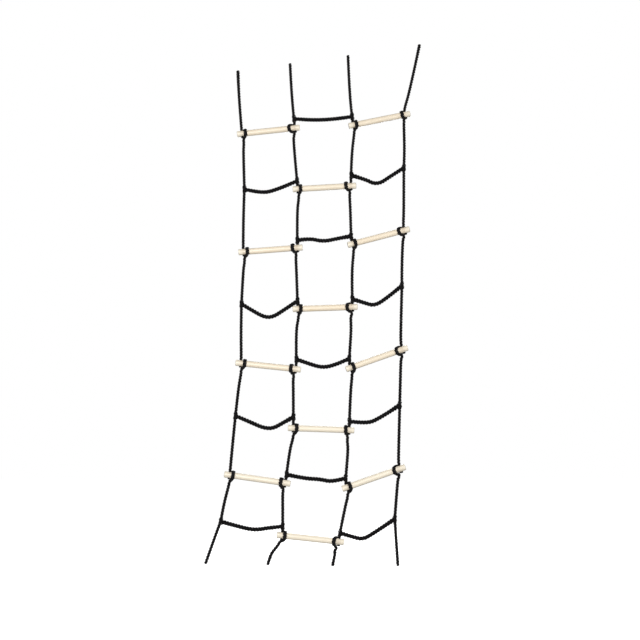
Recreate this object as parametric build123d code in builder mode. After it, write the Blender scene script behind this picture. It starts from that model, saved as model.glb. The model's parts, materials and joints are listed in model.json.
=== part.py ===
"""Rope ladder of four side ropes, with wooden rungs and cross ropes by turns.

The ladder hangs in the XZ plane: +Z is up, +X is across it, and +Y is its back.
Four side ropes make three columns. In rows 1, 3, 5 and 7 a wooden rung spans the left and
the right column and a slack cross rope spans the middle one; in rows 2, 4, 6 and 8 it is
the other way round. The origin is on the hang line, midway between the two inner ropes.

Rope bends anywhere. Here each side rope is cut at the level line between two rows, its
fold line, so that each row is one stiff body that folds on the row above it.
"""
from build123d import *
from math import cos, pi, radians, sin, tan
import os

# ---- driving dimensions, millimetres and degrees ------------------------------------------
rope_radius = 6.0          # side ropes: three-strand rope, 12 mm across
cross_rope_radius = 8.0    # cross ropes: 16 mm across
rung_radius = 15.0         # round beech dowel, 30 mm across
rung_length = 320.0
rung_end_round = 3.0       # rounding at a rung's two ends
hole_radius = 6.5          # drilled square through the rung for the side rope
hole_spacing = 270.0       # between a rung's two holes
hole_reach = 26.0          # how far the rope runs straight on each side of a rung's axis
mouth_tangent = 10.0       # longest arc tangent at a hole's mouth, clear of the wood

turn_clearance = 0.2       # between the rung and the rope's turn round it
turn_top_offset = 20.0     # the turn's top, inboard of the hole
turn_bottom_offset = 4.0   # the turn's bottom, inboard of the hole

knot_radius = 14.0         # rope seizing where a cross rope passes through a side rope
knot_bore_radius = 8.3     # the cross rope's passage through the seizing
knot_bore_length = 32.0
stub_length = 10.0         # from the seizing's centre to the cross rope's cut end
pin_reach = 28.0           # from the seizing's centre to the cross rope's first bend
pin_tangent = 15.0         # longest arc tangent at that bend, clear of the seizing

fold_ball_radius = 6.6     # the ball on a fold line, where a piece of side rope ends
fold_gap = 11.0            # from a fold line to the rope below it, for folding to 120 degrees
straight_turn = 0.3        # a bend under this many degrees is left out of a route

# Heights of the fold lines, from the one above row 1 to the one above row 8.
fold_heights = (-225, -560, -860, -1170, -1465, -1755, -2045, -2305)

# Top and bottom cut ends of the side ropes, left to right, as (x, z).
rope_tops = ((-415, -120), (-148, -80), (150, -35), (520, 25))
rope_tails = (
    ((-482, -2424), (-535, -2580)),
    ((-215, -2527), (-242, -2585)),
    ((64, -2590),),
    ((364, -2430), (373, -2590)),
)

# Each rung: column, centre x, centre z, and how far it hangs out of level, by row.
rungs = {
    1: (("left", -256, -443, 6.5), ("right", 308, -383, 12.0)),
    2: (("middle", 28, -740, 3.5),),
    3: (("left", -240, -1062, 4.5), ("right", 298, -996, 15.0)),
    4: (("middle", 31, -1355, 2.0),),
    5: (("left", -247, -1643, -6.0), ("right", 283, -1605, 19.5)),
    6: (("middle", 11, -1948, -2.0),),
    7: (("left", -294, -2185, -8.0), ("right", 263, -2180, 19.0)),
    8: (("middle", -40, -2463, -6.0),),
}

# Seizings on the two outer ropes in the even rows, as (x, z).
outer_knots = {
    2: {1: (-374, -750), 4: (429, -637)},
    4: {1: (-381, -1335), 4: (411, -1243)},
    6: {1: (-403, -1884), 4: (392, -1832)},
    8: {1: (-466, -2384), 4: (361, -2373)},
}

# Seizings on the two inner ropes: distance above the rung's axis, by row.
inner_knot_rise = {
    2: (50, 42, 38, 40, 48, 54, 40, 42),
    3: (46, 56, 40, 40, 46, 42, 44, 40),
}

# Each cross rope's sag, between its two seizings, as (x, z) points from left to right.
sags = {
    "row_1_middle": ((-50, -386), (90, -380)),
    "row_2_left": ((-300, -768), (-225, -760)),
    "row_2_right": ((240, -697), (290, -720), (350, -688)),
    "row_3_middle": ((-50, -1002), (22, -1020), (105, -1001)),
    "row_4_left": ((-310, -1372), (-240, -1402), (-190, -1376)),
    "row_4_right": ((226, -1330), (275, -1344), (335, -1306)),
    "row_5_middle": ((-52, -1630), (22, -1652), (98, -1630)),
    "row_6_left": ((-320, -1918), (-235, -1945), (-190, -1928)),
    "row_6_right": ((225, -1922), (290, -1900)),
    "row_7_middle": ((-70, -2183), (5, -2186), (66, -2200)),
    "row_8_left": ((-380, -2408), (-305, -2424), (-240, -2414)),
    "row_8_right": ((185, -2462), (235, -2454)),
}

# The side ropes that bound each column.
column_ropes = {"left": (1, 2), "middle": (2, 3), "right": (3, 4)}


def on_ladder(x, z):
    """A point of the ladder's plane."""
    return Vector(x, 0, z)


def rung_axis(tilt):
    """Along a rung, towards +X."""
    return Vector(cos(radians(tilt)), 0, sin(radians(tilt)))


def rung_up(tilt):
    """Square to a rung, upwards: the way that its holes are drilled."""
    return Vector(-sin(radians(tilt)), 0, cos(radians(tilt)))


def rung_hole(rope, row):
    """The centre, tilt and inboard direction of the hole that a side rope takes in a row."""
    for column, x, z, tilt in rungs[row]:
        if rope in column_ropes[column]:
            side = -1 if rope == column_ropes[column][0] else 1
            centre = on_ladder(x, z) + rung_axis(tilt) * (side * hole_spacing / 2)
            return centre, tilt, rung_axis(tilt) * -side
    return None


def row_route(rope, row):
    """The points where a side rope bends in a row, from the top down."""
    hole = rung_hole(rope, row)
    if hole is None:
        return [on_ladder(*outer_knots[row][rope])]
    centre, tilt, inboard = hole
    reach = rung_up(tilt) * hole_reach
    return [centre + reach, centre - reach]


def level_crossing(upper, lower, height):
    """Where a straight run passes a level line."""
    return upper + (lower - upper) * ((height - upper.Z) / (lower.Z - upper.Z))


def route_above(rope, row):
    """The last bend of a side rope above a row, or its top end above row 1."""
    return on_ladder(*rope_tops[rope - 1]) if row == 1 else row_route(rope, row - 1)[-1]


def fold_point(rope, row):
    """Where a side rope crosses the fold line above a row."""
    upper = route_above(rope, row)
    lower = row_route(rope, row)[0]
    return level_crossing(upper, lower, fold_heights[row - 1])


def knot_centre(rope, row):
    """The centre of a side rope's seizing in a row."""
    hole = rung_hole(rope, row)
    if hole is None:
        return on_ladder(*outer_knots[row][rope])
    mouth = row_route(rope, row)[0]
    upwards = (route_above(rope, row) - mouth).normalized()
    return mouth + upwards * (inner_knot_rise[rope][row - 1] - hole_reach)


def turn_at(before, corner, after):
    """The turn of a route at one of its points, in degrees."""
    return (corner - before).get_angle(after - corner)


def without_straight_points(points):
    """A route without the points that hardly turn it."""
    kept = [points[0]]
    for corner, after in zip(points[1:-1], points[2:]):
        if turn_at(kept[-1], corner, after) > straight_turn:
            kept.append(corner)
    return kept + [points[-1]]


def corner_radii(points, limits):
    """Arc radii at a route's corners, each as large as its runs and its limit allow."""
    radii = []
    for before, corner, after in zip(points, points[1:], points[2:]):
        shorter = min((corner - before).length, (after - corner).length)
        limit = limits.get((round(corner.X, 3), round(corner.Z, 3)), shorter)
        tangent = min(0.45 * shorter, limit)
        radii.append(tangent / tan(radians(turn_at(before, corner, after) / 2)))
    return radii


def limit_at(points, tangent):
    """The same arc tangent limit for several corners."""
    return {(round(point.X, 3), round(point.Z, 3)): tangent for point in points}


def rope_path(points, limits, name):
    """Draw a rope's centre line in the current BuildLine and print its bend radii."""
    if len(points) == 2:
        Line(*points)
        return
    radii = corner_radii(points, limits)
    FilletPolyline(*points, radius=radii)
    print(name, "bend radii, mm:", [round(radius) for radius in radii])


def save(part, name):
    part.label = name
    export_step(part, f"parts/{name}.step")


def make_rung(name, x, z, tilt):
    """A dowel with rounded ends and a hole square through it near each end."""
    plane = Plane(origin=on_ladder(x, z), x_dir=(0, 1, 0), z_dir=rung_axis(tilt))
    with BuildPart(plane) as rung:
        Cylinder(radius=rung_radius, height=rung_length)
        fillet(rung.edges().filter_by(GeomType.CIRCLE), radius=rung_end_round)
        with Locations((0, 0, -hole_spacing / 2), (0, 0, hole_spacing / 2)):
            Cylinder(hole_radius, 3 * rung_radius, rotation=(90, 0, 0), mode=Mode.SUBTRACT)
    save(rung.part, name)


def turn_plane(centre, tilt, inboard):
    """The slanting plane of the rope's turn round a rung, its origin at the turn's centre."""
    middle = (turn_top_offset + turn_bottom_offset) / 2
    slant = (turn_top_offset - turn_bottom_offset) / 2
    rise = rung_radius + turn_clearance + rope_radius
    top = inboard * slant + rung_up(tilt) * rise
    across = Vector(0, 1, 0)
    return Plane(origin=centre + inboard * middle, x_dir=across, z_dir=across.cross(top)), top.length


def make_rope_piece(name, rope, row):
    """A side rope from the fold line above a row to the one below it, or to its tail end.

    It passes through the rung's hole and takes one turn round the rung, and it carries
    the seizing that a cross rope's end passes through.
    """
    start = fold_point(rope, row)
    bends = row_route(rope, row)
    first_run = (bends[0] - start).normalized()
    if row < len(fold_heights):
        ends = [fold_point(rope, row + 1)]
    else:
        ends = [on_ladder(*point) for point in rope_tails[rope - 1]]
    points = without_straight_points([start + first_run * fold_gap, *bends, *ends])
    hole = rung_hole(rope, row)
    limits = limit_at(bends, mouth_tangent) if hole else {}

    with BuildPart() as piece:
        with BuildLine() as route:
            rope_path(points, limits, name)
        with BuildSketch(Plane(origin=points[0], z_dir=first_run)):
            Circle(rope_radius)
        sweep(path=route.line)
        if row < len(fold_heights):
            with Locations(points[-1]):
                Sphere(fold_ball_radius)
        if hole:
            plane, ring_radius = turn_plane(*hole)
            with Locations(plane):
                Torus(ring_radius, rope_radius)
        if has_knot(rope, row):
            centre = knot_centre(rope, row)
            with Locations(centre):
                Sphere(knot_radius)
            with Locations(Plane(origin=centre, z_dir=cross_rope_axis(rope, row))):
                Cylinder(knot_bore_radius, knot_bore_length, mode=Mode.SUBTRACT)
    save(piece.part, name)


def make_top_piece(name, rope):
    """A side rope's top end, down to the fold line above row 1."""
    top = on_ladder(*rope_tops[rope - 1])
    fold = fold_point(rope, 1)
    with BuildPart() as piece:
        with BuildLine() as route:
            Line(top, fold)
        with BuildSketch(Plane(origin=top, z_dir=fold - top)):
            Circle(rope_radius)
        sweep(path=route.line)
        with Locations(fold):
            Sphere(fold_ball_radius)
    save(piece.part, name)


def cross_columns(row):
    """The columns that a cross rope spans in a row: the ones without a rung."""
    with_rung = [column for column, *_ in rungs[row]]
    return [column for column in column_ropes if column not in with_rung]


def cross_rope_axis(rope, row):
    """The line through both seizings of the cross rope that a side rope holds in a row."""
    for column in cross_columns(row):
        left, right = column_ropes[column]
        if rope in (left, right):
            return (knot_centre(right, row) - knot_centre(left, row)).normalized()
    return None


def has_knot(rope, row):
    return cross_rope_axis(rope, row) is not None


def make_cross_rope(name, row, column):
    """A slack cross rope: straight through its two seizings, and hanging between them."""
    left, right = (knot_centre(rope, row) for rope in column_ropes[column])
    along = (right - left).normalized()
    pins = [left + along * pin_reach, right - along * pin_reach]
    sag = [on_ladder(*point) for point in sags[f"row_{row}_{column}"]]
    points = [left - along * stub_length, pins[0], *sag, pins[1], right + along * stub_length]
    with BuildPart() as cross:
        with BuildLine() as route:
            rope_path(points, limit_at(pins, pin_tangent), name)
        with BuildSketch(Plane(origin=points[0], z_dir=along)):
            Circle(cross_rope_radius)
        sweep(path=route.line)
    save(cross.part, name)
    length = route.wire().length
    tube_volume = pi * cross_rope_radius**2 * length
    print(f"{name}: {length:.0f} mm long, {cross.part.volume / tube_volume:.4f} of its volume")


os.makedirs("parts", exist_ok=True)

for rope in range(1, len(rope_tops) + 1):
    make_top_piece(f"rope_{rope}_top", rope)

for row in rungs:
    for column, x, z, tilt in rungs[row]:
        make_rung(f"rung_row_{row}_{column}", x, z, tilt)
    for rope in range(1, len(rope_tops) + 1):
        make_rope_piece(f"rope_{rope}_row_{row}", rope, row)
    for column in cross_columns(row):
        make_cross_rope(f"cross_rope_row_{row}_{column}", row, column)
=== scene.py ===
"""The looks of a rope ladder: twisted black ropes, turned wooden rungs and slack cross ropes.

The ladder hangs in the XZ plane at Y = 0, in metres, with +Z up and the front facing -Y.
Each rope follows a NURBS line through its route. A piece of side rope runs from one row to
the next, drawn towards a point on the fold line between them.
"""
import bpy
import json
import math
import numpy as np
from mathutils import Matrix, Vector, noise


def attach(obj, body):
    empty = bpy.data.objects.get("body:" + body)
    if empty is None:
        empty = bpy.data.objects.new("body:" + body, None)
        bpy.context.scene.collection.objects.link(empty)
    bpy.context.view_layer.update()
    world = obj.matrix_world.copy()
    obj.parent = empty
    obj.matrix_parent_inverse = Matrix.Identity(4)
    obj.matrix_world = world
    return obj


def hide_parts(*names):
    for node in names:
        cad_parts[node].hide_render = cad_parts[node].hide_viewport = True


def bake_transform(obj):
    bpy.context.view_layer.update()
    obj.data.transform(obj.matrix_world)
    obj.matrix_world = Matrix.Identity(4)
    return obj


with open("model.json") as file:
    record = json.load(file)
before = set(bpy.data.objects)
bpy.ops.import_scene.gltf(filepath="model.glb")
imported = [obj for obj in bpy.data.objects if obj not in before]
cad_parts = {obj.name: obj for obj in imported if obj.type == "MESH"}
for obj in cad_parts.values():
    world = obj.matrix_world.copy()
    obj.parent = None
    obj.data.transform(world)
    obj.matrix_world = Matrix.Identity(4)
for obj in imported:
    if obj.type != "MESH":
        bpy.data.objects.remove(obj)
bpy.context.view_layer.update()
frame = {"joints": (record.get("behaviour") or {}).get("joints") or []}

# ---- sizes, metres and degrees ------------------------------------------------------------
ROPE_RADIUS = 0.006           # side ropes
ROPE_LAY = 0.042              # length of one full twist of the three strands
RUNG_RADIUS = 0.015
RUNG_LENGTH = 0.320
HOLE_RADIUS = 0.0065
HOLE_SPACING = 0.270
HOLE_REACH = 0.026            # the rope runs straight this far on each side of a rung's axis
STUB_LENGTH = 0.008           # from a seizing's centre to the cross rope's cut end
SIDE_ROPE_THICKNESS = 1.18    # against STRAND_BACKS, for both: worn rope is fluffy
CROSS_ROPE_THICKNESS = 1.56
TUCK_PLACE = 0.020            # from a seizing, the thickest place of a cross rope's tucked end
TUCK_REACH = 0.030            # and how far the tuck reaches each way from there
KNOT_SWELL = 0.15             # extra thickness of a side rope where a cross rope goes through
KNOT_SWELL_REACH = 0.011
TURN_CLEAR = 0.027            # from a rung's axis, where a rope is no longer pressed flat
TURN_EASE = 0.004             # over this much distance
TURN_SLANT = 0.5              # 0 straight out of a rung to 1 round it: pressed in full from here
TURN_FLATNESS = 0.62          # thickness that is left of a rope pressed on a rung
TURN_SPREAD = 0.20            # and how much wider it gets
HOLE_ENTRY = 0.3              # of the way up a hole, a point that keeps the rope straight
RING_STEP = 0.0024            # between the rings of a rope's mesh
FLOOR_HEIGHT = -2.70
ROWS = range(1, 9)
ROPES = range(1, 5)

# ---- the ladder's own places, as in the CAD model -----------------------------------------
# Cut ends and bends of the side ropes, numbered from the left: X and Z.
ROPE_TOPS = {1: (-0.415, -0.120), 2: (-0.148, -0.080), 3: (0.150, -0.035), 4: (0.520, 0.025)}
ROPE_TAILS = {
    1: ((-0.482, -2.424), (-0.535, -2.580)),
    2: ((-0.215, -2.520), (-0.228, -2.540), (-0.242, -2.585)),
    3: ((0.080, -2.520), (0.064, -2.590)),
    4: ((0.364, -2.430), (0.373, -2.590)),
}

# The rungs of each row: column, X and Z of the middle, and tilt, up to the right.
RUNGS = {
    1: (("left", -0.256, -0.443, 6.5), ("right", 0.308, -0.383, 12.0)),
    2: (("middle", 0.028, -0.740, 3.5),),
    3: (("left", -0.240, -1.062, 4.5), ("right", 0.298, -0.996, 15.0)),
    4: (("middle", 0.031, -1.355, 2.0),),
    5: (("left", -0.247, -1.643, -6.0), ("right", 0.283, -1.605, 19.5)),
    6: (("middle", 0.011, -1.948, -2.0),),
    7: (("left", -0.294, -2.185, -8.0), ("right", 0.263, -2.180, 19.0)),
    8: (("middle", -0.040, -2.463, -6.0),),
}

# Seizings on the outer ropes, and how far above its hole each one on an inner rope is.
OUTER_KNOTS = {
    2: {1: (-0.374, -0.750), 4: (0.429, -0.637)},
    4: {1: (-0.381, -1.335), 4: (0.411, -1.243)},
    6: {1: (-0.403, -1.884), 4: (0.392, -1.832)},
    8: {1: (-0.466, -2.384), 4: (0.361, -2.373)},
}
INNER_KNOT_RISE = {
    2: (0.050, 0.042, 0.038, 0.040, 0.048, 0.054, 0.040, 0.042),
    3: (0.046, 0.056, 0.040, 0.040, 0.046, 0.042, 0.044, 0.040),
}

# The points that shape each cross rope's line between its ends.
SAGS = {
    "row_1_middle": ((-0.050, -0.386), (0.090, -0.380)),
    "row_2_left": ((-0.300, -0.768), (-0.225, -0.760)),
    "row_2_right": ((0.238, -0.699), (0.274, -0.719), (0.312, -0.716), (0.356, -0.685)),
    "row_3_middle": ((-0.050, -1.002), (0.022, -1.020), (0.105, -1.001)),
    "row_4_left": ((-0.318, -1.374), (-0.264, -1.402), (-0.224, -1.399), (-0.180, -1.371)),
    "row_4_right": ((0.226, -1.330), (0.275, -1.344), (0.335, -1.306)),
    "row_5_middle": ((-0.052, -1.630), (0.022, -1.652), (0.098, -1.630)),
    "row_6_left": ((-0.325, -1.917), (-0.268, -1.942), (-0.222, -1.945), (-0.180, -1.922)),
    "row_6_right": ((0.225, -1.922), (0.290, -1.900)),
    "row_7_middle": ((-0.070, -2.183), (0.005, -2.186), (0.066, -2.200)),
    "row_8_left": ((-0.380, -2.408), (-0.305, -2.424), (-0.240, -2.414)),
    "row_8_right": ((0.176, -2.461), (0.208, -2.465), (0.242, -2.451)),
}
COLUMN_ROPES = {"left": (1, 2), "middle": (2, 3), "right": (3, 4)}

# How much thicker a cross rope is beside its left and right ends, where they are tucked back.
TUCKS = {
    "row_1_middle": (-0.10, -0.06), "row_2_left": (-0.06, -0.04), "row_2_right": (0.20, 0.04),
    "row_3_middle": (0.10, 0.20), "row_4_left": (0.04, 0.06), "row_4_right": (0.18, 0.15),
    "row_5_middle": (0.08, -0.04), "row_6_left": (-0.04, 0.20), "row_6_right": (0.0, 0.20),
    "row_7_middle": (0.10, 0.02), "row_8_left": (0.05, -0.08), "row_8_right": (0.05, 0.12),
}

# How much thicker each side rope is at its top, and how far down that reaches.
TOP_SWELLS = {1: (0.20, 0.150), 2: (0.04, 0.060), 3: (0.03, 0.060), 4: (0.14, 0.110)}

# A side rope from the middle of a rung's hole down: out below, one turn round the rung and
# away. Millimetres inboard of the hole, back and up. The turn crosses inboard on its way up
# the back, or only over the top. Points lower than TURN_BOTTOM hang down from the hole.
TURNS = {
    "behind": (
        (0, 0, 0), (0, 0, -10), (1, 3.5, -19.5), (5, 14.5, -15), (11, 20.3, 0),
        (15, 14.4, 14.4), (17, 0, 20.3), (18, -14.4, 14.4), (18.5, -20.3, 0), (18, -16, -14),
        (14, -12, -22), (8, -8, -27), (6, -4, -35), (6, -1, -44), (6, 0, -55),
    ),
    "over": (
        (0, 0, 0), (0, 0, -10), (0, 3.5, -19.5), (1, 14.5, -15), (3, 20.3, 0), (6, 15, 14.4),
        (14, 1, 20.6), (24, -14, 14.4), (27, -20.3, 0), (26, -15.5, -14),
        (18, -12.5, -22.5), (6, -11.5, -25), (2, -8.5, -33), (4, -3, -43), (6, 0, -55),
    ),
}
TURN_BOTTOM = -24

# Which turn there is at each hole, by row and rope, and how far inboard it goes against these.
TURN_LOOKS = {
    (1, 1): ("behind", 1.0), (1, 2): ("over", 1.15), (1, 3): ("behind", 0.8),
    (1, 4): ("behind", 1.0), (2, 2): ("behind", 0.8), (2, 3): ("behind", 1.5),
    (3, 1): ("behind", 1.1), (3, 2): ("behind", 1.45), (3, 3): ("behind", 0.75),
    (3, 4): ("over", 1.25), (4, 2): ("behind", 0.85), (4, 3): ("over", 1.05),
    (5, 1): ("behind", 1.15), (5, 2): ("behind", 1.3), (5, 3): ("behind", 0.75),
    (5, 4): ("over", 1.3), (6, 2): ("behind", 0.95), (6, 3): ("behind", 0.9),
    (7, 1): ("behind", 1.0), (7, 2): ("behind", 1.2), (7, 3): ("behind", 0.8),
    (7, 4): ("over", 1.25), (8, 2): ("behind", 0.75), (8, 3): ("over", 0.9),
}

# X of each side rope on the fold line above each row, left to right: the ropes bow a little.
FOLD_X = {
    1: (-0.411, -0.141, 0.156, 0.466),
    2: (-0.382, -0.123, 0.167, 0.434),
    3: (-0.377, -0.108, 0.158, 0.426),
    4: (-0.375, -0.111, 0.164, 0.411),
    5: (-0.382, -0.111, 0.159, 0.402),
    6: (-0.391, -0.124, 0.155, 0.395),
    7: (-0.417, -0.139, 0.141, 0.384),
    8: (-0.453, -0.172, 0.128, 0.367),
}
FOLD_HEIGHTS = {
    row: joint["pos_m"][2]
    for row in ROWS
    for joint in frame["joints"]
    if joint["name"] == f"row_{row}_fold"
}


# ---- places worked out from them ----------------------------------------------------------
def on_ladder(x, z):
    return Vector((x, 0, z))


def rung_axis(tilt):
    return Vector((math.cos(math.radians(tilt)), 0, math.sin(math.radians(tilt))))


def rung_up(tilt):
    return Vector((-math.sin(math.radians(tilt)), 0, math.cos(math.radians(tilt))))


def rung_hole(rope, row):
    """Centre, tilt and inboard direction of a side rope's hole in a row, or None."""
    for column, x, z, tilt in RUNGS[row]:
        if rope in COLUMN_ROPES[column]:
            side = -1 if rope == COLUMN_ROPES[column][0] else 1
            centre = on_ladder(x, z) + rung_axis(tilt) * (side * HOLE_SPACING / 2)
            return centre, tilt, rung_axis(tilt) * -side
    return None


def row_route(rope, row):
    """Where a side rope bends in a row, from the top down."""
    hole = rung_hole(rope, row)
    if hole is None:
        return [on_ladder(*OUTER_KNOTS[row][rope])]
    reach = rung_up(hole[1]) * HOLE_REACH
    return [hole[0] + reach, hole[0] - reach]


def route_above(rope, row):
    return on_ladder(*ROPE_TOPS[rope]) if row == 1 else row_route(rope, row - 1)[-1]


def knot_centre(rope, row):
    """The centre of a side rope's seizing in a row."""
    if rung_hole(rope, row) is None:
        return on_ladder(*OUTER_KNOTS[row][rope])
    mouth = row_route(rope, row)[0]
    upwards = (route_above(rope, row) - mouth).normalized()
    return mouth + upwards * (INNER_KNOT_RISE[rope][row - 1] - HOLE_REACH)


def cross_columns(row):
    with_rung = [column for column, *_ in RUNGS[row]]
    return [column for column in COLUMN_ROPES if column not in with_rung]


def cross_rope_axis(rope, row):
    """The line through both seizings of the cross rope that a side rope holds, or None."""
    for column in cross_columns(row):
        left, right = COLUMN_ROPES[column]
        if rope in (left, right):
            return (knot_centre(right, row) - knot_centre(left, row)).normalized()
    return None


# ---- lines --------------------------------------------------------------------------------
def nurbs_line(points):
    """A smooth NURBS line that has these control points, as evenly spaced points on it."""
    curve = bpy.data.curves.new("route", "CURVE")
    curve.dimensions = "3D"
    curve.resolution_u = 24
    spline = curve.splines.new("NURBS")
    spline.points.add(len(points) - 1)
    for control, place in zip(spline.points, points):
        control.co = (*place, 1)
    spline.order_u = 3
    spline.use_endpoint_u = True
    holder = bpy.data.objects.new("route", curve)
    mesh = bpy.data.meshes.new_from_object(holder)
    line = np.array([vertex.co for vertex in mesh.vertices])
    bpy.data.objects.remove(holder)
    bpy.data.curves.remove(curve)
    bpy.data.meshes.remove(mesh)
    along = line_lengths(line)
    places = np.linspace(0, along[-1], round(along[-1] / RING_STEP) + 1)
    return np.stack([np.interp(places, along, line[:, axis]) for axis in range(3)], 1)


def line_lengths(line):
    """The distance along a line to each of its points."""
    steps = np.linalg.norm(np.diff(line, axis=0), axis=1)
    return np.concatenate([[0], np.cumsum(steps)])


def line_frames(line):
    """The tangent and two directions square to it at each point, carried along untwisted."""
    tangents = np.gradient(line, axis=0)
    tangents /= np.linalg.norm(tangents, axis=1)[:, None]
    side = np.cross(tangents[0], (0.0, 1.0, 0.0))
    sides = []
    for tangent in tangents:
        side = side - tangent * (side @ tangent)
        side = side / np.linalg.norm(side)
        sides.append(side)
    sides = np.array(sides)
    return np.stack([tangents, sides, np.cross(tangents, sides)], 1)


def ease(value):
    """0 below 0, 1 above 1, and a smooth rise between."""
    value = np.clip(value, 0, 1)
    return value * value * (3 - 2 * value)


# ---- rope meshes --------------------------------------------------------------------------
STRAND_BACKS = 0.0070         # from a rope's middle to its strands' backs, at thickness 1
STRAND_RADIUS = STRAND_BACKS / (1 + 2 / math.sqrt(3))
STRAND_OFFSET = STRAND_BACKS - STRAND_RADIUS
LOBE_ANGLES = np.radians((-60, -52, -38, -20, 0, 20, 38, 52))   # across one strand's back
MELTED_LENGTH = 0.007         # at a cut end, where the strands are melted into one
CUT_END = ((0.0, 0.0015, 0.0035, 0.0060), (0.62, 0.88, 1.04, 1.0))    # distance in, thickness


def lobe_radius(angle):
    """Distance from the rope's middle to a strand's back, at an angle from that strand."""
    inner = STRAND_RADIUS**2 - (STRAND_OFFSET * np.sin(angle)) ** 2
    return STRAND_OFFSET * np.cos(angle) + np.sqrt(np.maximum(inner, 0))


def fattened(along, thickness, bumps):
    """Thickness along a rope, from (distance along, extra thickness, reach) bumps."""
    thickness = np.full(len(along), thickness)
    for middle, extra, reach in bumps:
        thickness += extra * ease(1 - np.abs(along - middle) / reach)
    return thickness


def press_on_rung(offsets, line, frames, rung):
    """Flatten a rope's rings where it goes round a rung, towards the rung's surface."""
    centre, axis = (np.array(vector) for vector in rung)
    outward = line - centre
    outward = outward - axis[None, :] * (outward @ axis)[:, None]
    distance = np.linalg.norm(outward, axis=1)
    outward = outward / np.maximum(distance, 1e-6)[:, None]
    around = 1 - np.abs((frames[:, 0] * outward).sum(1))
    weight = ease((TURN_CLEAR - distance) / TURN_EASE) * ease(around / TURN_SLANT)
    inward = (offsets * outward[:, None, :]).sum(2)
    sideways = offsets @ axis
    flatter = (weight * (1 - TURN_FLATNESS))[:, None, None]
    wider = (weight * TURN_SPREAD)[:, None, None]
    offsets = offsets - flatter * inward[:, :, None] * outward[:, None, :]
    return offsets + wider * sideways[:, :, None] * axis[None, None, :]


def rope_mesh(name, line, frames, thickness, sealed=(), bumps=(), rung=None):
    """A closed three-strand twisted rope along a line.

    sealed names the ends, "first" or "last", that are melted shut. rung is the centre and
    axis of the rung that the rope takes a turn round, if it does.
    """
    along = line_lengths(line)
    angles = np.concatenate([LOBE_ANGLES + third * 2 * math.pi / 3 for third in range(3)])
    around = angles[None, :] + (along / ROPE_LAY * 2 * math.pi)[:, None]
    to_end = np.full(len(along), along[-1] + 1)
    if "first" in sealed:
        to_end = np.minimum(to_end, along)
    if "last" in sealed:
        to_end = np.minimum(to_end, along[-1] - along)
    melt = np.clip(1 - to_end / MELTED_LENGTH, 0, 1)
    size = np.interp(to_end, *CUT_END) * fattened(along, thickness, bumps)
    radii = np.tile(lobe_radius(LOBE_ANGLES), 3)[None, :] * (1 - melt[:, None])
    radii = (radii + ROPE_RADIUS * melt[:, None]) * size[:, None]
    offsets = (
        (radii * np.cos(around))[:, :, None] * frames[:, None, 1]
        + (radii * np.sin(around))[:, :, None] * frames[:, None, 2]
    )
    if rung:
        offsets = press_on_rung(offsets, line, frames, rung)
    return tube_mesh(name, [(line[:, None, :] + offsets, around / (2 * math.pi), along, melt)])


def tube_mesh(name, tubes, closed=False):
    """Tubes through rings of points, given as (points, turns, lengths, melt) each.

    turns, how far round the rope each point is, and lengths, how far along it, make the map
    that the yarn pattern follows. Closed tubes run back into themselves, others get end caps.
    """
    verts, faces, uvs, melts = [], [], [], []
    for points, turns, lengths, melt in tubes:
        rings, around = points.shape[:2]
        base = sum(len(part) for part in verts)
        verts.append(points.reshape(-1, 3))
        melts.append(np.repeat(melt, around))
        ring = np.arange(rings if closed else rings - 1)
        here = np.arange(around)
        low, here = (grid.ravel() for grid in np.meshgrid(ring, here, indexing="ij"))
        high, after = (low + 1) % rings, (here + 1) % around
        quad = ((low, here), (low, after), (high, after), (high, here))
        faces += np.stack([base + r * around + c for r, c in quad], 1).tolist()
        step = lengths[1] - lengths[0]
        uv = [
            (turns[low, c] + (c < here) + (turns[1, 0] - turns[0, 0]) * (r != low),
             lengths[low] + step * (r != low))
            for r, c in quad
        ]
        uvs.append(np.stack([np.stack(pair, 1) for pair in uv], 1).reshape(-1, 2))
        if not closed:
            faces.append(list(range(base, base + around))[::-1])
            faces.append(list(range(base + (rings - 1) * around, base + rings * around)))
            uvs.append(np.zeros((2 * around, 2)))
    mesh = bpy.data.meshes.new(name)
    mesh.from_pydata(np.concatenate(verts).tolist(), [], faces)
    layer = mesh.uv_layers.new(name="yarn")
    layer.data.foreach_set("uv", np.concatenate(uvs).astype(np.float32).ravel())
    melted = mesh.attributes.new("melt", "FLOAT", "POINT")
    melted.data.foreach_set("value", np.concatenate(melts).astype(np.float32))
    mesh.polygons.foreach_set("use_smooth", np.ones(len(faces), bool))
    mesh.update()
    return mesh


def add_piece(name, mesh, material, slot, *nodes):
    """A finished piece that stands for CAD nodes."""
    piece = bpy.data.objects.new(name, mesh)
    bpy.context.scene.collection.objects.link(piece)
    mesh.materials.append(material)
    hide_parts(*nodes)
    return piece


# ---- seizings: small cord wound over a crossing -------------------------------------------
CORD_RADIUS = 0.0011
CORD_LAY = 0.008
CORD_SIDES = 8
CORD_POINTS = 32              # round one turn of the cord
WHIPPING_OFFSETS = (-0.0142, -0.0120, 0.0120, 0.0142)   # turns square to the side rope
WHIPPING_LEAN = 0.0010
CROSSING_OFFSETS = (-0.0012, 0.0012)                    # turns over each diagonal
CROSSING_WIDTH = 1.08
OVER, UNDER = 0.6, -0.4       # cord radii by which one diagonal lies over the other


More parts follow.
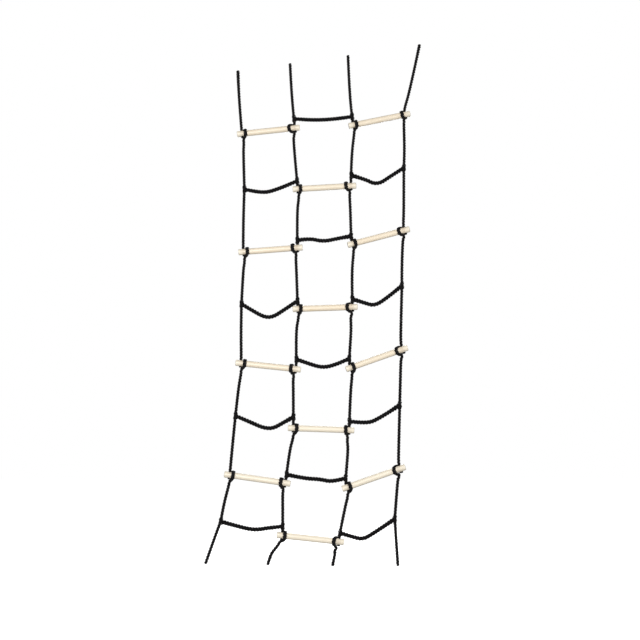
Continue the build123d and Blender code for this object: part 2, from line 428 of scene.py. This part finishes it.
def cord_turn(centre, along, width, depth, lean):
    """One closed turn of small cord: width along one direction, depth front to back."""
    angles = np.linspace(0, 2 * math.pi, CORD_POINTS + 1)[:-1]
    along, lean = np.array(along), np.array(lean)
    loop = (
        np.array(centre)
        + width * np.cos(angles)[:, None] * along
        + depth * np.sin(angles)[:, None] * np.array((0, 1, 0))
        + lean * np.sin(angles)[:, None]
    )
    tangents = np.roll(loop, -1, axis=0) - np.roll(loop, 1, axis=0)
    tangents /= np.linalg.norm(tangents, axis=1)[:, None]
    normal = np.cross(along, (0, 1, 0))
    normal = normal[None, :] - tangents * (tangents @ normal)[:, None]
    normal /= np.linalg.norm(normal, axis=1)[:, None]
    outward = np.cross(tangents, normal)
    around = np.arange(CORD_SIDES) / CORD_SIDES * 2 * math.pi
    points = (
        loop[:, None, :]
        + CORD_RADIUS * np.cos(around)[None, :, None] * outward[:, None, :]
        + CORD_RADIUS * np.sin(around)[None, :, None] * normal[:, None, :]
    )
    lengths = np.arange(len(loop)) * np.linalg.norm(loop[1] - loop[0])
    turns = around[None, :] / (2 * math.pi) + lengths[:, None] / CORD_LAY
    return points, turns, lengths, np.zeros(len(loop))


def make_seizing(rope, row, line):
    """The small cord that holds a cross rope's end where it goes through a side rope."""
    centre = knot_centre(rope, row)
    axis = cross_rope_axis(rope, row)
    nearest = np.linalg.norm(line - np.array(centre), axis=1).argmin()
    nearest = min(max(nearest, 1), len(line) - 2)
    downwards = Vector(line[nearest + 1] - line[nearest - 1]).normalized()
    across = Vector((0, 1, 0)).cross(downwards).normalized()
    snug = STRAND_BACKS * SIDE_ROPE_THICKNESS + CORD_RADIUS
    loose = STRAND_BACKS * CROSS_ROPE_THICKNESS + CORD_RADIUS
    turns = [
        cord_turn(centre + downwards * offset, across, snug, snug, downwards * WHIPPING_LEAN)
        for offset in WHIPPING_OFFSETS
    ]
    falling, rising = (axis + downwards).normalized(), (axis - downwards).normalized()
    for diagonal, other in ((falling, rising), (rising, falling)):
        depth = loose + CORD_RADIUS * (OVER if diagonal.z > 0 else UNDER)
        for offset in CROSSING_OFFSETS:
            turns.append(cord_turn(centre + other * offset, diagonal, CROSSING_WIDTH * loose,
                                   depth, (0, 0, 0)))
    name = f"seizing_row_{row}_rope_{rope}"
    piece = add_piece(name, tube_mesh(name, turns, closed=True), side_rope_look, "side_rope",
                      f"rope_{rope}_row_{row}")
    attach(piece, f"row_{row}")


# ---- materials ----------------------------------------------------------------------------
class Nodes:
    """A small helper that adds and links shader nodes."""

    def __init__(self, name):
        self.material = bpy.data.materials.new(name)
        self.material.use_nodes = True
        self.tree = self.material.node_tree
        self.shader = self.tree.nodes["Principled BSDF"]

    def add(self, kind, inputs=None, **settings):
        node = self.tree.nodes.new("ShaderNode" + kind)
        for key, value in settings.items():
            setattr(node, key, value)
        for key, value in (inputs or {}).items():
            self.put(node.inputs[key], value)
        return node

    def put(self, socket, value):
        if isinstance(value, bpy.types.NodeSocket):
            self.tree.links.new(value, socket)
        else:
            socket.default_value = value

    def math(self, operation, *values):
        node = self.add("Math", operation=operation)
        for socket, value in zip(node.inputs, values):
            self.put(socket, value)
        return node.outputs[0]

    def ramp(self, factor, *stops):
        node = self.add("ValToRGB", {0: factor})
        elements = node.color_ramp.elements
        while len(elements) < len(stops):
            elements.new(0.5)
        for element, (place, colour) in zip(elements, stops):
            element.position = place
            element.color = (*colour, 1)
        return node.outputs[0]

    def mix(self, factor, one, other):
        node = self.add("Mix", data_type="RGBA")
        self.put(node.inputs["Factor"], factor)
        self.put(node.inputs["A"], one)
        self.put(node.inputs["B"], other)
        return node.outputs["Result"]

    def set(self, **inputs):
        for key, value in inputs.items():
            self.put(self.shader.inputs[key.replace("_", " ")], value)


YARNS_ROUND = 36
ROPE_DUST = (0.23, 0.21, 0.19, 1)


def rope_material(name, shade, dust):
    """Black twisted filament rope: fine yarns along the strands, a soft sheen, a little dust."""
    m = Nodes(name)
    yarn = m.add("UVMap", uv_map="yarn").outputs[0]
    place = m.add("TexCoord").outputs["Object"]
    parts = m.add("SeparateXYZ", {0: yarn})
    drift = m.add("TexNoise", {"Vector": place, "Scale": 260.0, "Detail": 3.0}).outputs[0]
    turns = m.math("MULTIPLY_ADD", drift, 0.03, parts.outputs[0])
    wave = m.math("SINE", m.math("MULTIPLY", turns, YARNS_ROUND * 2 * math.pi))
    ridge = m.math("MULTIPLY_ADD", wave, 0.5, 0.5)
    hairs = m.add("TexNoise", {
        "Vector": m.add("Mapping", {"Vector": place, "Scale": (900, 900, 140)}).outputs[0],
        "Scale": 1.0, "Detail": 4.0, "Roughness": 0.65}).outputs[0]
    height = m.math("MULTIPLY_ADD", hairs, 0.6, ridge)
    melt = m.add("Attribute", attribute_name="melt").outputs["Fac"]
    height = m.math("MULTIPLY", height, m.math("SUBTRACT", 1.0, melt))
    bump = m.add("Bump", {"Height": height, "Strength": 0.55, "Distance": 0.0006}).outputs[0]
    patches = m.add("TexNoise", {"Vector": place, "Scale": 14.0, "Detail": 5.0}).outputs[0]
    worn = m.math("MULTIPLY", m.math("SMOOTH_MIN", ridge, hairs, 0.2), patches)
    # Painted shade: the rope's colour is darker in the troughs between its yarns, where the bump
    # is low.
    painted_trough_shade = tuple(0.55 * c for c in shade)
    base = m.mix(ridge, (*painted_trough_shade, 1), (*shade, 1))
    dusty = m.mix(m.math("MULTIPLY", worn, dust), base, ROPE_DUST)
    m.set(Base_Color=dusty, Normal=bump,
          Roughness=m.math("MULTIPLY_ADD", hairs, 0.25, m.math("MULTIPLY_ADD", melt, -0.2, 0.50)),
          Sheen_Weight=0.02, Sheen_Roughness=0.4, Specular_IOR_Level=0.14)
    return m.material


GROWTH_RINGS = 420.0          # per metre of the trunk's radius
FLECK_BROWN = (0.60, 0.42, 0.25, 1)
PORE_BROWN = (0.55, 0.40, 0.24, 1)
PAINTED_LIGHT_CREAM = (0.96, 0.90, 0.75, 1)
GRIME_BROWN = (0.30, 0.22, 0.15, 1)


def wood_material():
    """Pale sanded beech: growth rings cut lengthways, short ray flecks and a thin satin coat."""
    m = Nodes("rung_beech")
    grain = m.add("Attribute", attribute_name="grain").outputs["Vector"]
    high, deep = m.add("SeparateXYZ", {0: grain}).outputs[1:]
    sway = m.add("TexNoise", {
        "Vector": m.add("Mapping", {"Vector": grain, "Scale": (5, 40, 40)}).outputs[0],
        "Scale": 1.0, "Detail": 3.0}).outputs[0]
    radius = m.math("SQRT", m.math("ADD", m.math("MULTIPLY", high, high),
                                   m.math("MULTIPLY", deep, deep)))
    radius = m.math("MULTIPLY_ADD", sway, 0.004, radius)
    ring = m.math("FRACT", m.math("MULTIPLY", radius, GROWTH_RINGS))
    ring = m.math("POWER", ring, 2.5)
    pores = m.add("TexNoise", {
        "Vector": m.add("Mapping", {"Vector": grain, "Scale": (60, 2400, 2400)}).outputs[0],
        "Scale": 1.0, "Detail": 2.0, "Roughness": 0.7}).outputs[0]
    flecks = m.add("TexVoronoi", {
        "Vector": m.add("Mapping", {"Vector": grain, "Scale": (220, 1500, 1500)}).outputs[0],
        "Scale": 1.0}).outputs["Distance"]
    fleck = m.math("LESS_THAN", flecks, 0.17)
    tone = m.add("TexNoise", {"Vector": grain, "Scale": 9.0, "Detail": 3.0}).outputs[0]
    base = m.ramp(m.math("MULTIPLY_ADD", ring, 0.55, m.math("MULTIPLY", tone, 0.45)),
                  (0.10, (0.93, 0.82, 0.66)), (0.55, (0.89, 0.76, 0.57)),
                  (0.95, (0.76, 0.60, 0.38)))
    base = m.mix(m.math("MULTIPLY", fleck, 0.28), base, FLECK_BROWN)
    open_pores = m.math("GREATER_THAN", pores, 0.62)
    base = m.mix(m.math("MULTIPLY", open_pores, 0.14), base, PORE_BROWN)
    # Painted light: the pale attribute makes each row's rungs paler for how light falls on them,
    # and gives the ends a painted highlight.
    pale = m.add("Attribute", attribute_name="pale").outputs["Fac"]
    base = m.mix(m.math("MULTIPLY", pale, 0.65), base, PAINTED_LIGHT_CREAM)
    grime = m.add("Attribute", attribute_name="grime").outputs["Fac"]
    smudge = m.add("TexNoise", {"Vector": grain, "Scale": 70.0, "Detail": 5.0}).outputs[0]
    smudged = m.math("MULTIPLY", grime, m.math("MULTIPLY_ADD", smudge, 0.9, -0.12))
    base = m.mix(smudged, base, GRIME_BROWN)
    height = m.math("MULTIPLY_ADD", ring, -0.25, m.math("MULTIPLY", pores, 0.5))
    bump = m.add("Bump", {"Height": height, "Strength": 0.22, "Distance": 0.0004}).outputs[0]
    m.set(Base_Color=base, Normal=bump,
          Roughness=m.math("MULTIPLY_ADD", smudge, 0.25, 0.36),
          Coat_Weight=0.25, Coat_Roughness=0.28, Specular_IOR_Level=0.45)
    return m.material


def floor_material():
    m = Nodes("pale_floor")
    place = m.add("TexCoord").outputs["Object"]
    cloud = m.add("TexNoise", {"Vector": place, "Scale": 2.0, "Detail": 4.0}).outputs[0]
    m.set(Base_Color=m.ramp(cloud, (0.3, (0.90, 0.90, 0.895)), (0.7, (0.93, 0.93, 0.93))),
          Roughness=0.75, Emission_Color=(1, 1, 1, 1), Emission_Strength=0.80)
    return m.material


side_rope_look = rope_material("side_rope_black", (0.010, 0.009, 0.010), 0.05)
cross_rope_look = rope_material("cross_rope_black", (0.007, 0.006, 0.007), 0.03)
wood_look = wood_material()


# ---- camera -------------------------------------------------------------------------------
def make_camera():
    """The photographed view: from about 4.5 m, level with the lower rows, looking up."""
    data = bpy.data.cameras.new("camera")
    data.lens = 52.15
    data.sensor_width = 36
    camera = bpy.data.objects.new("camera", data)
    camera.location = (-0.018, -4.5, -2.131)
    camera.rotation_euler = (math.radians(90 + 9.04), 0, math.radians(-0.3))
    bpy.context.scene.collection.objects.link(camera)
    bpy.context.scene.camera = camera


make_camera()


# ---- cross ropes --------------------------------------------------------------------------
def make_cross_rope(row, column):
    """A slack cross rope: through a side rope at each end, where its strands are tucked back."""
    left, right = (knot_centre(rope, row) for rope in COLUMN_ROPES[column])
    sag = [on_ladder(*place) for place in SAGS[f"row_{row}_{column}"]]
    first = left - (sag[0] - left).normalized() * STUB_LENGTH
    last = right - (sag[-1] - right).normalized() * STUB_LENGTH
    line = nurbs_line([first, *sag, last])
    length = line_lengths(line)[-1]
    left_tuck, right_tuck = TUCKS[f"row_{row}_{column}"]
    bumps = ((STUB_LENGTH + TUCK_PLACE, left_tuck, TUCK_REACH),
             (length - STUB_LENGTH - TUCK_PLACE, right_tuck, TUCK_REACH))
    name = f"slack_rope_row_{row}_{column}"
    mesh = rope_mesh(name, line, line_frames(line), CROSS_ROPE_THICKNESS, ("first", "last"),
                     bumps)
    piece = add_piece(name, mesh, cross_rope_look, "cross_rope", f"cross_rope_row_{row}_{column}")
    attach(piece, f"cross_row_{row}_{column}")


for row in ROWS:
    for column in cross_columns(row):
        make_cross_rope(row, column)


# ---- side ropes ---------------------------------------------------------------------------
def route_from(rope, row):
    """The start of a piece of side rope, from its hold in a row downwards."""
    if row == 0:
        return [on_ladder(*ROPE_TOPS[rope])]
    hole = rung_hole(rope, row)
    if hole is None:
        return row_route(rope, row)
    centre, tilt, inboard = hole
    below = fold_place(rope, row + 1) if row + 1 in ROWS else on_ladder(*ROPE_TAILS[rope][0])
    hanging = (centre - below).normalized()
    look, reach = TURN_LOOKS[row, rope]
    route = []
    for inward, back, height in TURNS[look]:
        if height > TURN_BOTTOM:
            inward, up = inward * reach, rung_up(tilt)
        else:
            up = hanging
        route.append(centre + (inboard * inward + Vector((0, back, 0)) + up * height) / 1000)
    return route


def route_into(rope, row):
    """The end of a piece of side rope, down to its hold in a row, or to its cut end."""
    if row > max(ROWS):
        return [on_ladder(*place) for place in ROPE_TAILS[rope]]
    hold = row_route(rope, row)
    if len(hold) == 1:
        return hold
    centre = rung_hole(rope, row)[0]
    return [hold[0], centre.lerp(hold[0], HOLE_ENTRY), centre]


def fold_place(rope, row):
    return on_ladder(FOLD_X[row][rope - 1], FOLD_HEIGHTS[row])


def bend_at_fold(piece):
    """Bake a piece of side rope's transform into its mesh."""
    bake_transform(piece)


def knot_bumps(rope, line, *rows):
    """The swelling of a side rope where a cross rope goes through its strands."""
    bumps = []
    for row in rows:
        if row in ROWS and cross_rope_axis(rope, row) is not None:
            near = np.linalg.norm(line - np.array(knot_centre(rope, row)), axis=1).argmin()
            bumps.append((line_lengths(line)[near], KNOT_SWELL, KNOT_SWELL_REACH))
    return bumps


def side_line(rope, row):
    """The line of a piece of side rope, from its hold in a row to its hold in the next."""
    route = route_from(rope, row)
    if row + 1 in ROWS:
        route.append(fold_place(rope, row + 1))
    return nurbs_line(route + route_into(rope, row + 1))


def turned_rung(rope, row):
    """The centre and axis of the rung that a side rope takes a turn round, or None."""
    hole = rung_hole(rope, row) if row in ROWS else None
    return hole and (hole[0], rung_axis(hole[1]))


def make_side_rope(rope, row):
    """A piece of side rope, drawn towards a point on the fold line below its hold. Row 0 is its
    top.
    """
    line = side_line(rope, row)
    bumps = knot_bumps(rope, line, row, row + 1)
    if row:
        name, node, sealed = f"side_rope_{rope}_below_row_{row}", f"rope_{rope}_row_{row}", ()
    else:
        name, node, sealed = f"side_rope_{rope}_top", f"rope_{rope}_top", ("first",)
        bumps.append((0.0, *TOP_SWELLS[rope]))
    mesh = rope_mesh(name, line, line_frames(line), SIDE_ROPE_THICKNESS, sealed, bumps,
                     turned_rung(rope, row))
    piece = add_piece(name, mesh, side_rope_look, "side_rope", node)
    bend_at_fold(piece)
    return line


def make_bottom(rope):
    """The last of a side rope: its turn round the bottom rung, if any, and its free tail."""
    row = max(ROWS)
    line = side_line(rope, row)
    frames = line_frames(line)
    bumps = knot_bumps(rope, line, row)
    rung = turned_rung(rope, row)
    if rung:
        away = np.array(route_from(rope, row)[-2])
        end = np.linalg.norm(line - away, axis=1).argmin()
        name = f"side_rope_{rope}_turn_row_{row}"
        mesh = rope_mesh(name, line[:end + 1], frames[:end + 1], SIDE_ROPE_THICKNESS, rung=rung)
        turn = add_piece(name, mesh, side_rope_look, "side_rope", f"rope_{rope}_row_{row}")
        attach(turn, f"row_{row}")
        line, frames = line[end:], frames[end:]
    name = f"side_rope_{rope}_tail"
    mesh = rope_mesh(name, line, frames, SIDE_ROPE_THICKNESS, ("last",), bumps)
    tail = add_piece(name, mesh, side_rope_look, "side_rope", f"rope_{rope}_row_{row}")
    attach(tail, f"row_{row}")


for rope in ROPES:
    lines_into = {row: make_side_rope(rope, row - 1) for row in ROWS}
    make_bottom(rope)
    for row in ROWS:
        if cross_rope_axis(rope, row) is not None:
            make_seizing(rope, row, lines_into[row])


# ---- rungs --------------------------------------------------------------------------------
END_ROUNDING = 0.0035
END_STEPS = 5
BODY_RINGS = 38
BODY_INSET = 0.012            # from a rung's end to the first ring of its straight body
RIM_EASE = 0.0016             # how far the rope has rounded a hole's rim
DRILL_CLEAR = 0.004           # how far the drill stands out of the wood
DOWEL_SEGMENTS = 72
DRILL_SEGMENTS = 40
UNEVENNESS = 0.012
SHARP_ANGLE = 38

# Painted light: how much paler each row's rungs are drawn, from 0 to 1, for how light falls.
# The ends are drawn pale too, as a painted highlight.
RUNG_PAINTED_LIGHT = {1: 0.2, 2: 0.3, 3: 0.1, 4: 0.0, 5: 0.25, 6: 0.7, 7: 0.8, 8: 0.75}
PAINTED_HIGHLIGHT_END = 0.018              # painted highlight this far from each end, fading over PAINTED_HIGHLIGHT_FADE
PAINTED_HIGHLIGHT_FADE = 0.010

# Reach and strength of the handling marks beside a hole and at an end.
HOLE_GRIME = (0.030, 0.75)
END_GRIME = (0.004, 0.4)
GRIME_INBOARD = 0.006         # from a hole's middle to the middle of its grime


def dowel_profile():
    """(distance along, radius) of a dowel with softly rounded ends, from one end to the other."""
    half = RUNG_LENGTH / 2
    end = [(-half, 0.0), (-half, 0.5 * RUNG_RADIUS)]
    for step in range(END_STEPS + 1):
        angle = math.radians(90 * step / END_STEPS)
        end.append((-half + END_ROUNDING * (1 - math.sin(angle)),
                    RUNG_RADIUS - END_ROUNDING * (1 - math.cos(angle))))
    end = end[:2] + end[:1:-1]
    straight = np.linspace(-half + BODY_INSET, half - BODY_INSET, BODY_RINGS)
    body = [(along, RUNG_RADIUS) for along in straight]
    return end + body + [(-along, radius) for along, radius in reversed(end)]


def lathe(name, profile, segments):
    """A closed mesh turned round the X axis. The profile starts and ends on the axis."""
    rings = profile[1:-1]
    verts = [(profile[0][0], 0, 0), (profile[-1][0], 0, 0)]
    for along, radius in rings:
        for step in range(segments):
            angle = 2 * math.pi * step / segments
            verts.append((along, radius * math.cos(angle), radius * math.sin(angle)))
    faces = []
    for step in range(segments):
        after = (step + 1) % segments
        faces.append((0, 2 + step, 2 + after))
        last = 2 + (len(rings) - 1) * segments
        faces.append((1, last + after, last + step))
        for ring in range(len(rings) - 1):
            low = 2 + ring * segments
            faces.append((low + step, low + segments + step, low + segments + after, low + after))
    mesh = bpy.data.meshes.new(name)
    mesh.from_pydata(verts, [], faces)
    mesh.update()
    return mesh


def drilled(mesh):
    """The dowel with its two holes, their rims eased by the rope."""
    reach = RUNG_RADIUS + DRILL_CLEAR
    profile = [(-reach, 0), (-reach, HOLE_RADIUS + 3 * RIM_EASE),
               (-RUNG_RADIUS, HOLE_RADIUS + RIM_EASE),
               (-RUNG_RADIUS + 1.5 * RIM_EASE, HOLE_RADIUS + 0.25 * RIM_EASE),
               (-RUNG_RADIUS + 3 * RIM_EASE, HOLE_RADIUS)]
    profile += [(-along, radius) for along, radius in reversed(profile)]
    blank = bpy.data.objects.new("dowel_blank", mesh)
    bpy.context.scene.collection.objects.link(blank)
    holders = [blank]
    for side in (-1, 1):
        drill = bpy.data.objects.new("drill", lathe("drill", profile, DRILL_SEGMENTS))
        holders.append(drill)
        drill.matrix_world = (Matrix.Translation((side * HOLE_SPACING / 2, 0, 0))
                              @ Matrix.Rotation(math.radians(-90), 4, "Y"))
        bpy.context.scene.collection.objects.link(drill)
        cut = blank.modifiers.new("hole", "BOOLEAN")
        cut.operation = "DIFFERENCE"
        cut.solver = "EXACT"
        cut.object = drill
    bpy.context.view_layer.update()
    result = bpy.data.meshes.new_from_object(
        blank.evaluated_get(bpy.context.evaluated_depsgraph_get()))
    for holder in holders:
        bpy.data.objects.remove(holder)
    return result


def make_rung(blank, row, column, x, z, tilt):
    """One rung in its place, with its own grain and its own small unevenness."""
    name = f"dowel_row_{row}_{column}"
    mesh = blank.copy()
    mesh.name = name
    seed = row * 3 + len(column)
    rest = np.array([vertex.co for vertex in mesh.vertices])
    pith = Vector((0, 0.028 + 0.008 * math.sin(seed * 2.1), 0.020 * math.cos(seed * 1.7)))
    spin = Matrix.Rotation(seed * 1.9, 3, "X")
    lean = Matrix.Rotation(math.radians(1.5 * math.sin(seed)), 3, "Z")
    grain = [lean @ (spin @ Vector(place)) + pith + Vector((seed * 0.7, 0, 0)) for place in rest]
    attribute = mesh.attributes.new("grain", "FLOAT_VECTOR", "POINT")
    attribute.data.foreach_set("vector", np.array(grain, np.float32).ravel())
    to_hole = np.abs(np.abs(rest[:, 0]) - HOLE_SPACING / 2 + GRIME_INBOARD)
    to_end = RUNG_LENGTH / 2 - np.abs(rest[:, 0])
    grime = np.maximum(*(
        np.clip(1 - distance / reach, 0, 1) * strength
        for distance, (reach, strength) in ((to_hole, HOLE_GRIME), (to_end, END_GRIME))
    ))
    # Painted light: paler rows where more light falls, and a painted highlight at each end.
    pale = np.maximum(RUNG_PAINTED_LIGHT[row], np.clip(1 - (to_end - PAINTED_HIGHLIGHT_END) / PAINTED_HIGHLIGHT_FADE, 0, 1))
    for label, values in (("grime", grime), ("pale", pale)):
        attribute = mesh.attributes.new(label, "FLOAT", "POINT")
        attribute.data.foreach_set("value", values.astype(np.float32))
    place = Matrix.Translation(on_ladder(x, z)) @ Matrix.Rotation(-math.radians(tilt), 4, "Y")
    for vertex, at in zip(mesh.vertices, rest):
        spot = Vector((at[0] * 14 + seed * 5, at[1] * 20, at[2] * 20))
        uneven = 1 + UNEVENNESS * noise.noise(spot)
        vertex.co = place @ Vector((at[0], at[1] * uneven, at[2] * uneven))
    mesh.polygons.foreach_set("use_smooth", np.ones(len(mesh.polygons), bool))
    mesh.set_sharp_from_angle(angle=math.radians(SHARP_ANGLE))
    piece = add_piece(name, mesh, wood_look, "rung_wood", f"rung_row_{row}_{column}")
    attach(piece, f"row_{row}")


rung_blank = drilled(lathe("dowel", dowel_profile(), DOWEL_SEGMENTS))
for row in ROWS:
    for column, x, z, tilt in RUNGS[row]:
        make_rung(rung_blank, row, column, x, z, tilt)


# ---- floor, light and backdrop ------------------------------------------------------------
FLOOR_REACH = 40.0
STUDIO_LIGHT = 0.26           # how bright the white backdrop is as light on the ladder
LIGHT_TARGET = (0, 0, -1.3)
LIGHTS = {                    # location, size and power
    "key": ((-0.9, -4.8, -1.2), 1.0, 176),
    "fill": ((2.6, -3.2, -2.2), 2.4, 34),
    "back": ((0.8, 4.4, 0.4), 2.4, 130),
}


def make_floor():
    mesh = bpy.data.meshes.new("floor")
    square = [(-FLOOR_REACH, -FLOOR_REACH), (FLOOR_REACH, -FLOOR_REACH),
              (FLOOR_REACH, FLOOR_REACH), (-FLOOR_REACH, FLOOR_REACH)]
    mesh.from_pydata([(x, y, FLOOR_HEIGHT) for x, y in square], [], [(0, 1, 2, 3)])
    mesh.materials.append(floor_material())
    floor = bpy.data.objects.new("floor", mesh)
    floor.visible_diffuse = floor.visible_glossy = False
    bpy.context.scene.collection.objects.link(floor)


def make_light(name, location, size, power):
    data = bpy.data.lights.new(name, "AREA")
    data.shape = "DISK"
    data.size = size
    data.energy = power
    light = bpy.data.objects.new(name, data)
    light.location = location
    aim = Vector(LIGHT_TARGET) - Vector(location)
    light.rotation_euler = aim.to_track_quat("-Z", "Y").to_euler()
    bpy.context.scene.collection.objects.link(light)


def make_backdrop():
    """A white studio: bright behind the object, and softer as light on it."""
    world = bpy.data.worlds.new("white_studio")
    bpy.context.scene.world = world
    world.use_nodes = True
    nodes, links = world.node_tree.nodes, world.node_tree.links
    seen = nodes["Background"]
    seen.inputs["Color"].default_value = (1, 1, 1, 1)
    seen.inputs["Strength"].default_value = 1.0
    light = nodes.new("ShaderNodeBackground")
    light.inputs["Color"].default_value = (1, 1, 1, 1)
    light.inputs["Strength"].default_value = STUDIO_LIGHT
    mix = nodes.new("ShaderNodeMixShader")
    links.new(nodes.new("ShaderNodeLightPath").outputs["Is Camera Ray"], mix.inputs[0])
    links.new(light.outputs[0], mix.inputs[1])
    links.new(seen.outputs[0], mix.inputs[2])
    links.new(mix.outputs[0], nodes["World Output"].inputs["Surface"])


make_floor()
make_backdrop()
for name, (location, size, power) in LIGHTS.items():
    make_light(name, location, size, power)
bpy.context.scene.view_settings.view_transform = "Standard"
